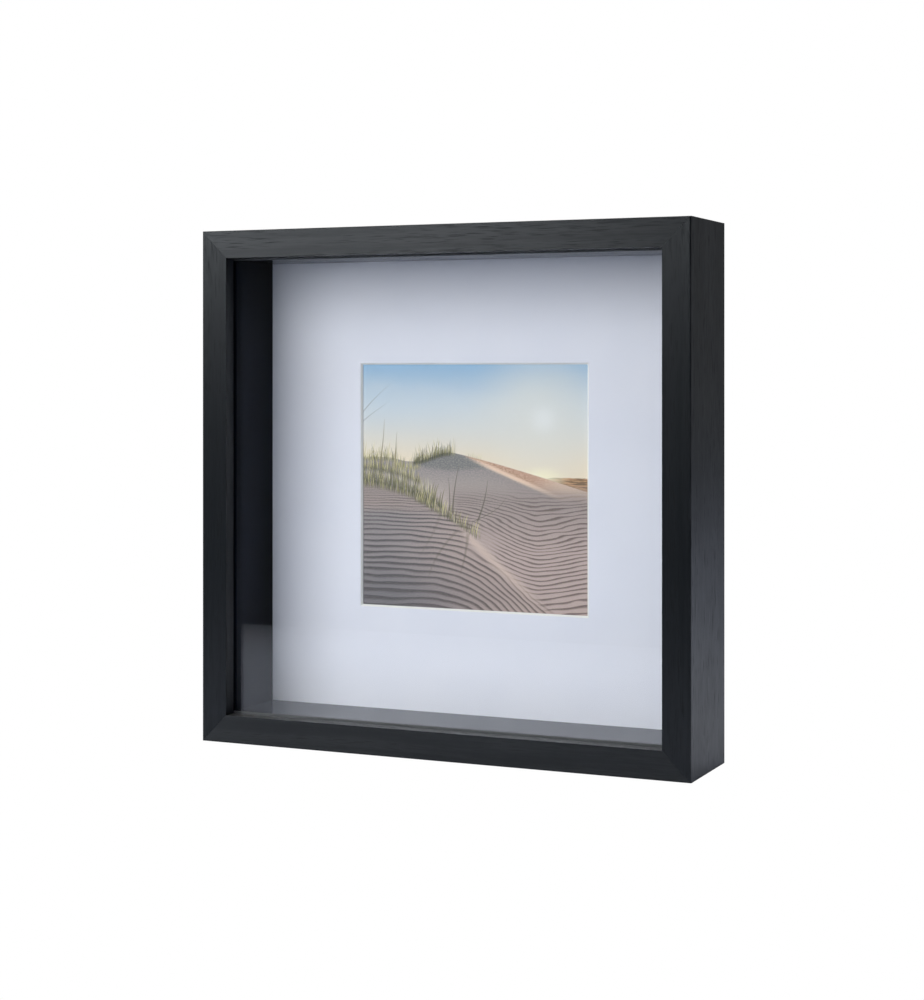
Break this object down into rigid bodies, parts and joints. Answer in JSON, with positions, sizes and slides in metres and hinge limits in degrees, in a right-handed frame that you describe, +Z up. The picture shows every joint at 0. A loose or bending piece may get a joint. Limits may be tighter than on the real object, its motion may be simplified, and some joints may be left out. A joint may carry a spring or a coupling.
{
  "type": "deep display frame",
  "caption": "Deep square box frame with mitred black wood rails, glass set behind a lip, and a small landscape print far back in a wide white bevelled window mat.",
  "frame": {"origin": "centre of the flat underside that the frame stands on, midway between the front and back faces of the rails", "axes": "+X to the right as the frame is looked at, +Y to the back, +Z up; the glass faces -Y"},
  "size_m": [0.25, 0.0555, 0.25],
  "materials": {
    "stained_wood": "black stained ash with fine open grain, satin lacquer",
    "black_strip": "matt black foil over fibreboard",
    "glass": "clear, polished",
    "mat_board": "cool white mat board with a white core",
    "print_paper": "satin photo paper",
    "tape_paper": "gummed linen tape",
    "grey_board": "grey board",
    "fibreboard": "raw medium-density fibreboard",
    "zinc_steel": "bright zinc plated steel",
    "bumper_rubber": "soft matt rubber"
  },
  "bodies": {
    "case": {"art_print": "print_paper", "back_panel": "fibreboard", "backing_board": "grey_board", "corner_v_nails": "zinc_steel", "glass_pane": "glass", "hanger_rivets": "zinc_steel", "hanger_strap_left": "zinc_steel", "hanger_strap_right": "zinc_steel", "print_hinge_tapes": "tape_paper", "rail_bottom": "stained_wood", "rail_left": "stained_wood", "rail_right": "stained_wood", "rail_top": "stained_wood", "spacer_bottom": "black_strip", "spacer_left": "black_strip", "spacer_right": "black_strip", "spacer_top": "black_strip", "turn_button_screws": "zinc_steel", "wall_bumpers": "bumper_rubber", "window_mat": "mat_board"},
    "turn_button_top_left": {"turn_button_top_left": "zinc_steel"},
    "turn_button_top_right": {"turn_button_top_right": "zinc_steel"},
    "turn_button_bottom_left": {"turn_button_bottom_left": "zinc_steel"},
    "turn_button_bottom_right": {"turn_button_bottom_right": "zinc_steel"},
    "turn_button_left_lower": {"turn_button_left_lower": "zinc_steel"},
    "turn_button_left_upper": {"turn_button_left_upper": "zinc_steel"},
    "turn_button_right_lower": {"turn_button_right_lower": "zinc_steel"},
    "turn_button_right_upper": {"turn_button_right_upper": "zinc_steel"},
    "hanger_ring_left": {"hanger_ring_left": "zinc_steel"},
    "hanger_ring_right": {"hanger_ring_right": "zinc_steel"}
  },
  "joints": [
    {"name": "turn_button_top_left_turn", "type": "hinge", "parent": "case", "child": "turn_button_top_left", "pos_m": [-0.06, 0.0255, 0.2454], "axis": [0, 1, 0], "range_deg": [-90, 90]},
    {"name": "turn_button_top_right_turn", "type": "hinge", "parent": "case", "child": "turn_button_top_right", "pos_m": [0.06, 0.0255, 0.2454], "axis": [0, 1, 0], "range_deg": [-90, 90]},
    {"name": "turn_button_bottom_left_turn", "type": "hinge", "parent": "case", "child": "turn_button_bottom_left", "pos_m": [-0.06, 0.0255, 0.0046], "axis": [0, 1, 0], "range_deg": [-90, 90]},
    {"name": "turn_button_bottom_right_turn", "type": "hinge", "parent": "case", "child": "turn_button_bottom_right", "pos_m": [0.06, 0.0255, 0.0046], "axis": [0, 1, 0], "range_deg": [-90, 90]},
    {"name": "turn_button_left_lower_turn", "type": "hinge", "parent": "case", "child": "turn_button_left_lower", "pos_m": [-0.1204, 0.0255, 0.065], "axis": [0, 1, 0], "range_deg": [-90, 90]},
    {"name": "turn_button_left_upper_turn", "type": "hinge", "parent": "case", "child": "turn_button_left_upper", "pos_m": [-0.1204, 0.0255, 0.185], "axis": [0, 1, 0], "range_deg": [-90, 90]},
    {"name": "turn_button_right_lower_turn", "type": "hinge", "parent": "case", "child": "turn_button_right_lower", "pos_m": [0.1204, 0.0255, 0.065], "axis": [0, 1, 0], "range_deg": [-90, 90]},
    {"name": "turn_button_right_upper_turn", "type": "hinge", "parent": "case", "child": "turn_button_right_upper", "pos_m": [0.1204, 0.0255, 0.185], "axis": [0, 1, 0], "range_deg": [-90, 90]},
    {"name": "hanger_ring_left_swing", "type": "hinge", "parent": "case", "child": "hanger_ring_left", "pos_m": [-0.055, 0.02768, 0.185], "axis": [1, 0, 0], "range_deg": [-3, 183]},
    {"name": "hanger_ring_right_swing", "type": "hinge", "parent": "case", "child": "hanger_ring_right", "pos_m": [0.055, 0.02768, 0.185], "axis": [1, 0, 0], "range_deg": [-3, 183]}
  ]
}
